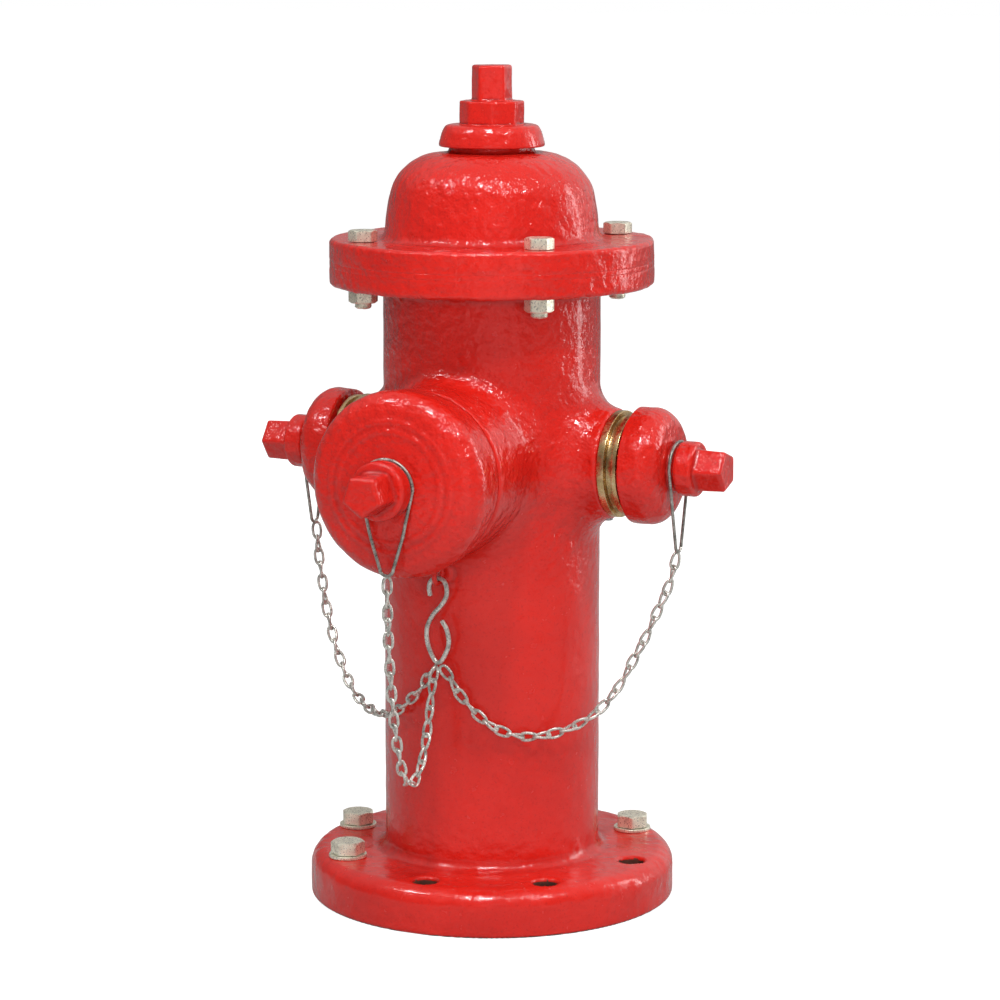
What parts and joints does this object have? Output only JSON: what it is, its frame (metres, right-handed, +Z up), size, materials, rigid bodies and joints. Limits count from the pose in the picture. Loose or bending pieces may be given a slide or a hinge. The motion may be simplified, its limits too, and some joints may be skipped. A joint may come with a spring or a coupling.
{
  "type": "fire hydrant",
  "caption": "Dry-barrel fire hydrant, upper section: flanged red barrel and domed bonnet, a large front nozzle and side hose nozzles with screw caps, and chains to a hook.",
  "frame": {"origin": "on the barrel's axis, in the plane of the base flange's lower face, where the stem coupling's end face lies 1 mm above it", "axes": "+Z up along the barrel and the operating stem; -Y out of the pumper nozzle; +X and -X out of the two hose nozzles"},
  "size_m": [0.48, 0.4445, 0.791],
  "materials": {
    "red_enamel": "gloss",
    "zinc_plate": "satin",
    "bronze": "satin",
    "bare_steel": "satin",
    "black_rubber": "matte"
  },
  "bodies": {
    "root": {"barrel": "red_enamel", "bonnet": "red_enamel", "oil_fill_plug": "red_enamel", "weather_cap": "red_enamel", "hold_down_nut": "red_enamel", "chain_eye": "red_enamel", "bonnet_gasket": "black_rubber", "thrust_washer": "bronze", "stem_seal_plate": "bronze", "hose_nozzle_right": "bronze", "hose_nozzle_left": "bronze", "pumper_nozzle": "bronze", "stem_o_ring_upper": "black_rubber", "stem_o_ring_lower": "black_rubber", "hose_nozzle_right_o_ring": "black_rubber", "hose_nozzle_left_o_ring": "black_rubber", "pumper_nozzle_o_ring": "black_rubber", "hose_nozzle_right_screw": "bare_steel", "hose_nozzle_left_screw": "bare_steel", "pumper_nozzle_screw": "bare_steel", "chain_right": "zinc_plate", "chain_left": "zinc_plate", "chain_pumper": "zinc_plate", "s_hook": "zinc_plate", "bonnet_bolt_1": "zinc_plate", "bonnet_nut_1": "zinc_plate", "bonnet_bolt_2": "zinc_plate", "bonnet_nut_2": "zinc_plate", "bonnet_bolt_3": "zinc_plate", "bonnet_nut_3": "zinc_plate", "bonnet_bolt_4": "zinc_plate", "bonnet_nut_4": "zinc_plate", "base_bolt_1": "zinc_plate", "base_washer_1": "zinc_plate", "base_bolt_2": "zinc_plate", "base_washer_2": "zinc_plate", "base_bolt_3": "zinc_plate", "base_washer_3": "zinc_plate", "base_bolt_4": "zinc_plate", "base_washer_4": "zinc_plate", "base_bolt_5": "zinc_plate", "base_washer_5": "zinc_plate"},
    "operating_screw": {"operating_nut": "red_enamel", "operating_nut_o_ring": "black_rubber"},
    "stem": {"upper_stem": "bare_steel", "stem_coupling": "bare_steel", "coupling_pin": "bare_steel"},
    "right_loop": {"chain_loop_right": "zinc_plate"},
    "right_cap": {"hose_cap_right": "red_enamel", "hose_cap_right_gasket": "black_rubber"},
    "left_loop": {"chain_loop_left": "zinc_plate"},
    "left_cap": {"hose_cap_left": "red_enamel", "hose_cap_left_gasket": "black_rubber"},
    "pumper_loop": {"chain_loop_pumper": "zinc_plate"},
    "pumper_cap": {"pumper_cap": "red_enamel", "pumper_cap_gasket": "black_rubber"}
  },
  "joints": [
    {"name": "operating_nut_turn", "type": "hinge", "parent": "root", "child": "operating_screw", "pos_m": [0, 0, 0.77], "axis": [0, 0, 1], "range_deg": [0, 3060]},
    {"name": "stem_travel", "type": "slide", "parent": "root", "child": "stem", "axis": [0, 0, -1], "range_m": [0, 0.05397]},
    {"name": "right_cap_travel", "type": "slide", "parent": "root", "child": "right_loop", "axis": [1, 0, 0], "range_m": [0, 0.02139]},
    {"name": "right_cap_turn", "type": "hinge", "parent": "right_loop", "child": "right_cap", "pos_m": [0.17, 0, 0.424], "axis": [1, 0, 0], "range_deg": [0, 2268]},
    {"name": "left_cap_travel", "type": "slide", "parent": "root", "child": "left_loop", "axis": [-1, 0, 0], "range_m": [0, 0.02139]},
    {"name": "left_cap_turn", "type": "hinge", "parent": "left_loop", "child": "left_cap", "pos_m": [-0.17, 0, 0.424], "axis": [-1, 0, 0], "range_deg": [0, 2268]},
    {"name": "pumper_cap_travel", "type": "slide", "parent": "root", "child": "pumper_loop", "axis": [0, -1, 0], "range_m": [0, 0.02863]},
    {"name": "pumper_cap_turn", "type": "hinge", "parent": "pumper_loop", "child": "pumper_cap", "pos_m": [0, -0.19, 0.424], "axis": [0, -1, 0], "range_deg": [0, 1620]}
  ],
  "couplings": [
    {"joint": "operating_nut_turn", "follows": "stem_travel", "rad_per_m": 989.48},
    {"joint": "right_cap_travel", "follows": "right_cap_turn", "m_per_rad": 0.00053906},
    {"joint": "left_cap_travel", "follows": "left_cap_turn", "m_per_rad": 0.00053906},
    {"joint": "pumper_cap_travel", "follows": "pumper_cap_turn", "m_per_rad": 0.0010106}
  ]
}
